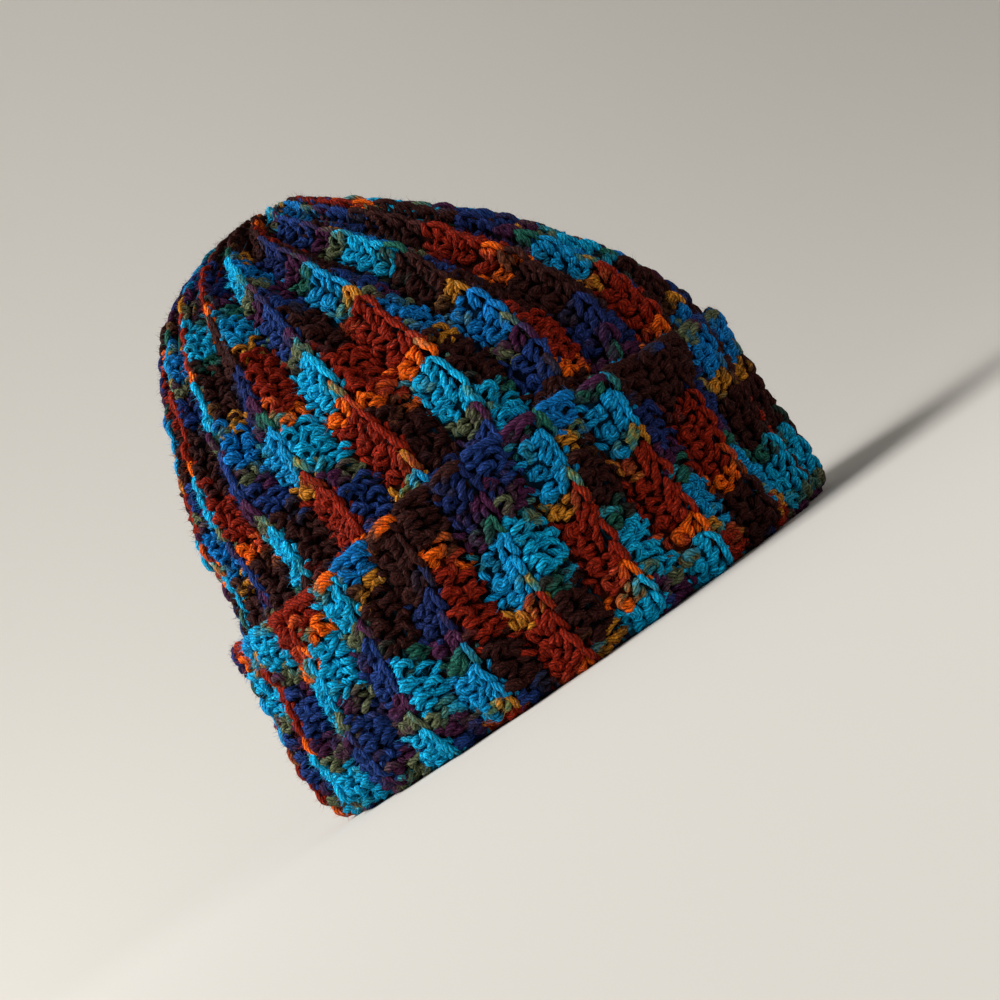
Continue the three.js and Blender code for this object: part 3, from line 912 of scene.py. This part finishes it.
def fuzzTree(material):
    # strews short hairs over the yarn
    tree, board, given = newTree("yarnToFuzz", [
        ("Density", "Float"), ("Length", "Float"), ("Width", "Float"), ("Lean", "Float"), ("Seed", "Int")])
    outward = board.node("GeometryNodeInputNamedAttribute", {"data_type": "FLOAT_VECTOR"},
                         {"Name": "yarnOut"})
    facing = board.vectorMaths("DOT_PRODUCT", {0: outward, 1: board.node("GeometryNodeInputNormal")})
    shown = board.maths("MAXIMUM", board.wire(facing, "Value") - fuzz["facingFrom"], 0.0)
    spread = board.node("GeometryNodeDistributePointsOnFaces", {"distribute_method": "RANDOM"}, {
        "Mesh": given["Geometry"], "Density": shown * given["Density"], "Seed": given["Seed"]})
    stray = board.randomPush(given["Seed"], given["Lean"])
    way = board.vectorMaths("ADD", {0: spread.outputs["Normal"], 1: stray})
    aimed = board.node("FunctionNodeAlignRotationToVector", {"axis": "X"}, {"Vector": way})
    # a hair is one thin triangle, its root near the origin and its tip along x
    blade = board.node("GeometryNodeMeshCircle", {"fill_type": "NGON"}, {"Vertices": 3, "Radius": 1.0})
    slim = board.node("ShaderNodeCombineXYZ", None, {0: 0.667, 1: given["Width"] / given["Length"], 2: 1.0})
    hair = board.node("GeometryNodeTransform", None, {
        "Geometry": blade, "Translation": (0.3, 0.0, 0.0), "Scale": slim})
    longer = board.node("FunctionNodeRandomValue", {"data_type": "FLOAT"}, {
        2: fuzz["shortest"], 3: fuzz["longest"], "Seed": given["Seed"]})
    grown = board.node("GeometryNodeInstanceOnPoints", None, {
        "Points": spread, "Instance": hair, "Rotation": aimed,
        "Scale": (board.wire(longer, 1) ** 2.0) * given["Length"]})
    board.handOn(grown, material)
    return tree


fuzzMaterial = makeFuzzMaterial("yarnFuzz")
hairTree = fuzzTree(fuzzMaterial)
fuzzValues = {title: fuzz[title.lower()] for title in ("Density", "Length", "Width", "Lean", "Seed")}
for name, piece in stitched.items():
    grownPiece(name.replace("stitches", "fuzz"), piece.data.copy(), hairTree, fuzzValues,
               name.split("_")[0], fuzzMaterial)
print("fuzz made")


backing = {
    "columnsPerRib": 6,
    "behind": 3.2 * mm,      # how far the backing lies under the strands' fabric
    "wallShare": 0.8,        # and at most this share of the wall's thickness
    "bodyLevels": 44,
    "topFrom": 0.985,        # from here up the crown's fabric faces straight up
    "lowOuter": 0.5 * mm,    # insets and rib depth of the body's wall behind the cuff
    "lowInner": 3.6 * mm,
    "lowRibDepth": 2.5 * mm,
    "lowShift": 0.008,
    "lowNarrower": 0.013,
    "dyeFrom": 75 * mm,      # height from which the body's stitches are counted
    "cuffOutside": (0.10, 0.985, 20),    # first level, last level and number of rings
    "cuffInside": (0.985, 0.26, 12),
    "cuffWall": 4.2 * mm,
    "cuffRidges": 1.5 * mm,
    "leastHeight": 1.5 * mm,
    "foldRibDepth": 2.0 * mm,
    "coveredShade": 0.12,    # painted shade: brightness painted under the strands, behind the cuff, in the fold and inside
    "behindShade": 0.35,
    "foldShade": 0.6,
    "insideShade": 0.8,
}

backingLook = {
    "dyeScale": 300.0,
    "dyeStray": 0.6,
    "lumpScale": 230.0,
    # painted shade between the lumps of the stitches
    "lumpShade": 0.65,
    "patchHeight": 0.3,
    "bumpStrength": 0.9,
    "bumpDepth": 1.2 * mm,
    "roughness": 0.95,
    "specular": 0.15,
}

# the body's fabric behind the cuff, reach as a share of the half sizes
lowRows = rowsOf("height reach", [(8.4 * mm, 0.885), (30 * mm, 0.895), (50 * mm, 0.90)])

# the fold's top, inner face and flat bottom
foldRows = rowsOf("inset height", [
    (9.2 * mm, 8.0 * mm), (12.2 * mm, 8.0 * mm), (12.2 * mm, 3.5 * mm), (11.0 * mm, 0.8 * mm),
    (7.0 * mm, 0.6 * mm)])


def closedSkin(name, rings, dyes, paintedShades, node, material):
    # rings is a loop of rows of points, closed both ways
    rows, columns = rings.shape[:2]
    index = np.arange(rows * columns).reshape(rows, columns)
    down = np.roll(index, -1, axis=0)
    faces = np.stack([index, np.roll(index, -1, axis=1), np.roll(down, -1, axis=1), down], axis=-1)
    mesh = bpy.data.meshes.new(name)
    mesh.from_pydata(rings.reshape(-1, 3).tolist(), [], faces.reshape(-1, 4).tolist())
    addValues(mesh, "yarnDye", dyes)
    addValues(mesh, "yarnPaintedShade", paintedShades)
    mesh.polygons.foreach_set("use_smooth", [True] * len(mesh.polygons))
    mesh.update()
    return plainPiece(name, mesh, node, material)


def makeBackingMaterial(name, look):
    # the inside of the fabric: rows of flat stitches by bump, with painted shade where the strands cover it
    # and between the lumps
    material, board = newMaterial(name)
    spot, depth = board.objectSpot(), board.attribute("yarnPaintedShade")
    patchy = board.noise(spot, look["dyeScale"], 3.0)
    lumps = board.node("ShaderNodeTexVoronoi", {"feature": "SMOOTH_F1"}, {
        "Vector": spot, "Scale": look["lumpScale"]})
    tone = dyeTone(board, board.attribute("yarnDye") + (patchy - 0.5) * look["dyeStray"])
    lump = 1.0 - board.wire(lumps)
    # painted shade: the tone is darkened by the per-vertex shade and between the lumps
    shade = depth * ((1.0 - look["lumpShade"]) + look["lumpShade"] * lump * lump)
    bump = board.node("ShaderNodeBump", None, {
        "Strength": look["bumpStrength"], "Distance": look["bumpDepth"],
        "Height": lump + look["patchHeight"] * patchy})
    board.surface({"Base Color": board.shaded(tone, shade), "Roughness": look["roughness"],
                   "Specular IOR Level": look["specular"], "Normal": bump})
    return material


backingMaterial = makeBackingMaterial("yarnInside", backingLook)


def backingColumns():
    across = np.linspace(0.0, 2.0, backing["columnsPerRib"], endpoint=False)
    return np.repeat(np.arange(hat["ribs"]), len(across)), np.tile(across, hat["ribs"])


def makeBodyBacking():
    ribs, across = backingColumns()
    row = (across >= 1.0).astype(int)
    outer, inner, dyes = [], [], []
    # the part behind the cuff, down to the fold
    angle, shift = ribAngle(ribs, across, bodyCloth), hat["length"] * backing["lowShift"]
    depth, valley = backing["lowRibDepth"], 1 - ridgeWave(across)
    for low in lowRows:
        reachWidth = low["reach"] - backing["lowNarrower"]
        for store, inset in ((outer, backing["lowOuter"]), (inner, backing["lowInner"])):
            halfLength = 0.5 * hat["length"] * low["reach"] - inset - depth * valley + depth
            halfWidth = 0.5 * hat["width"] * reachWidth - inset - depth * valley + depth
            store.append(onOval(angle, shift, halfLength, halfWidth, low["height"]))
        stitch = (low["height"] - backing["dyeFrom"]) / stitching["stitchLength"]
        dyes.append(dyeAt(bodyDyes, ribs, row, stitch))
    for level in np.linspace(0.0, 1.0, backing["bodyLevels"]):
        along = np.full(len(ribs), level)
        point, out = clothFrame(bodyCloth, ribs, across, along)
        if level > backing["topFrom"]:
            out = np.tile([0.0, 0.0, 1.0], (len(ribs), 1))
        wall = hat["fabricThickness"] * column(bodyCloth, "wall", along)
        outer.append(point - out * min(backing["behind"], backing["wallShare"] * wall[0]))
        inner.append(point - out * wall[:, None])
        stitch = (level - stitching["bodyFrom"]) / bodyShare * bodyStitches
        dyes.append(dyeAt(bodyDyes, ribs, row, stitch))
    # painted shade: a dark outer face under the strands, where the gaps fall into shadow, and a lighter
    # inside face
    covered = np.full((len(outer), len(ribs)), backing["coveredShade"])
    inside = np.full((len(outer), len(ribs)), backing["insideShade"])
    closedSkin("body_inside", np.array(outer + inner[::-1]), np.array(dyes + dyes[::-1]),
               np.concatenate([covered, inside]), "body", backingMaterial)


def makeCuffBacking():
    ribs, across = backingColumns()
    row, wave = (across >= 1.0).astype(int), ridgeWave(across)
    rings, dyes, paintedShades = [], [], []

    def addRing(points, stitch, shade):
        rings.append(points)
        dyes.append(dyeAt(cuffDyes, ribs, row, stitch))
        paintedShades.append(np.full(len(ribs), shade))

    # painted shade for each ring: dark under the strands, then lighter behind the cuff and in the fold
    for level in np.linspace(*backing["cuffOutside"]):
        point, out = clothFrame(cuffCloth, ribs, across, np.full(len(ribs), level))
        point = point - out * backing["behind"]
        point[:, 2] = np.maximum(point[:, 2], backing["leastHeight"])
        addRing(point, level * cuffStitches, backing["coveredShade"])
    inset = (backing["cuffWall"] + backing["cuffRidges"] * wave)[:, None]
    for level in np.linspace(*backing["cuffInside"]):
        point, out = clothFrame(cuffCloth, ribs, across, np.full(len(ribs), level))
        addRing(point - out * inset, level * cuffStitches, backing["behindShade"])
    angle, low, depth = ribAngle(ribs, across, cuffCloth), cuffRows[0], backing["foldRibDepth"] * wave
    for fold in foldRows:
        halfLength = 0.5 * hat["length"] * low["reach"] - fold["inset"] - depth
        halfWidth = 0.5 * hat["width"] * low["reach"] - fold["inset"] - depth
        addRing(onOval(angle, hat["length"] * low["shift"], halfLength, halfWidth, fold["height"]),
                0.0, backing["foldShade"])
    closedSkin("cuff_inside", np.array(rings), np.array(dyes), np.array(paintedShades), "cuff", backingMaterial)


makeBodyBacking()
makeCuffBacking()
print("backing made")


gather = {
    "turns": 2,
    "steps": 56,
    "radius": 4.2 * mm,
    "tightening": 0.9 * mm,
    "ripple": 0.35 * mm,
    "ripples": 3.5,
    "rise": 0.4,             # share of the ripple that also goes up and down
    "dip": 1.4 * mm,
    "height": 204.2 * mm,
    "yarnRadius": 1.5 * mm,
    "endShare": 0.5,
    "sides": 10,
    "dyePace": 30.0,         # stitches of the colour repeat to a metre
}


def makeGather():
    turn = np.linspace(0.0, 2 * math.pi * gather["turns"], gather["steps"])
    ripple = gather["ripple"] * np.sin(turn * gather["ripples"])
    reach = gather["radius"] - gather["tightening"] * turn / turn[-1] + ripple
    centre = hat["length"] * crownRows[-1]["shift"] - outlineMiddle
    height = gather["height"] - gather["dip"] * np.sin(turn / 2) ** 2 + gather["rise"] * ripple
    points = np.stack([centre + reach * np.cos(turn), reach * np.sin(turn), height], axis=-1)[None]
    run = runAlong(points)
    radius = np.full(gather["steps"], gather["yarnRadius"])
    radius[[0, -1]] *= gather["endShare"]
    return bundleOf(points, radius, dyeMiddle["brownOne"] + run * gather["dyePace"], run,
                    np.tile([0.0, 0.0, 1.0], (gather["steps"], 1)))


grownPiece("gather_loops", polylineMesh("gather_loops", makeGather()), strandTree,
           {**yarnValues, "Sides": gather["sides"], "Wander": 0.0}, "gather_yarn", yarnMaterial)


stageLook = {
    "floorTone": srgb(192, 189, 183),
    "floorRoughness": 0.9,
    "floor": {"left": -1.7, "right": 1.7, "front": -2.0, "back": 0.20},
    "bendRadius": 1.1,
    "bend": (0.03, math.pi / 2, 28),     # first angle, last angle and number of rings
    "cornerPoints": 9,
    "wallHeight": 2.4,
    "worldStrength": 0.30,
    "worldTone": srgb(226, 226, 228),
    "lightAim": (0, 0, 0.1),
}

lamps = rowsOf("name place size power tone", [
    ("keyLight", (-1.0, -0.32, 1.1), (1.1, 1.1), 39.0, (1.0, 0.985, 0.96)),
    ("fillLight", (1.1, -0.9, 0.55), (0.9, 0.7), 4.2, (1.0, 0.95, 0.9))])


def makeStage(look):
    material, board = newMaterial("paleStudio")
    board.surface({"Base Color": (*look["floorTone"], 1.0), "Roughness": look["floorRoughness"]})
    # flat floor whose edges sweep up on every side
    flat, bend = look["floor"], look["bendRadius"]
    corners = [(flat["right"], flat["back"], 0), (flat["left"], flat["back"], 90),
               (flat["left"], flat["front"], 180), (flat["right"], flat["front"], 270)]
    levels = [(bend * math.sin(a), bend - bend * math.cos(a)) for a in np.linspace(*look["bend"])]
    cornerPoints = look["cornerPoints"]
    points, ringSize = [], 4 * cornerPoints
    for reach, height in [(0.0, 0.0)] + levels + [(bend, look["wallHeight"])]:
        for x, y, first in corners:
            for turn in np.radians(np.linspace(first, first + 90, cornerPoints)):
                points.append((x + reach * math.cos(turn), y + reach * math.sin(turn), height))
    rings = len(points) // ringSize
    faces = [[ring * ringSize + i, ring * ringSize + (i + 1) % ringSize,
              (ring + 1) * ringSize + (i + 1) % ringSize, (ring + 1) * ringSize + i]
             for ring in range(rings - 1) for i in range(ringSize)]
    faces = [face[::-1] for face in faces] + [list(range(0, ringSize, cornerPoints))]
    mesh = bpy.data.meshes.new("studio_floor")
    mesh.from_pydata(points, [], faces)
    mesh.polygons.foreach_set("use_smooth", [True] * len(faces))
    mesh.materials.append(material)
    floor = bpy.data.objects.new("studio_floor", mesh)
    bpy.context.scene.collection.objects.link(floor)


def addLamp(lamp, aim):
    data = bpy.data.lights.new(lamp["name"], "AREA")
    data.shape = "RECTANGLE"
    data.size, data.size_y = lamp["size"]
    data.energy = lamp["power"]
    data.color = lamp["tone"]
    light = bpy.data.objects.new(lamp["name"], data)
    light.location = lamp["place"]
    light.rotation_euler = (Vector(aim) - Vector(lamp["place"])).to_track_quat("-Z", "Y").to_euler()
    bpy.context.scene.collection.objects.link(light)


def addWorld(look):
    world = bpy.data.worlds.new("studio")
    bpy.context.scene.world = world
    world.use_nodes = True
    ground = world.node_tree.nodes["Background"]
    ground.inputs[0].default_value = (*look["worldTone"], 1.0)
    ground.inputs[1].default_value = look["worldStrength"]


makeStage(stageLook)
addWorld(stageLook)
for lamp in lamps:
    addLamp(lamp, stageLook["lightAim"])
bpy.context.scene.view_settings.view_transform = "Standard"
bpy.context.scene.view_settings.look = "None"
print("stage and light ready")
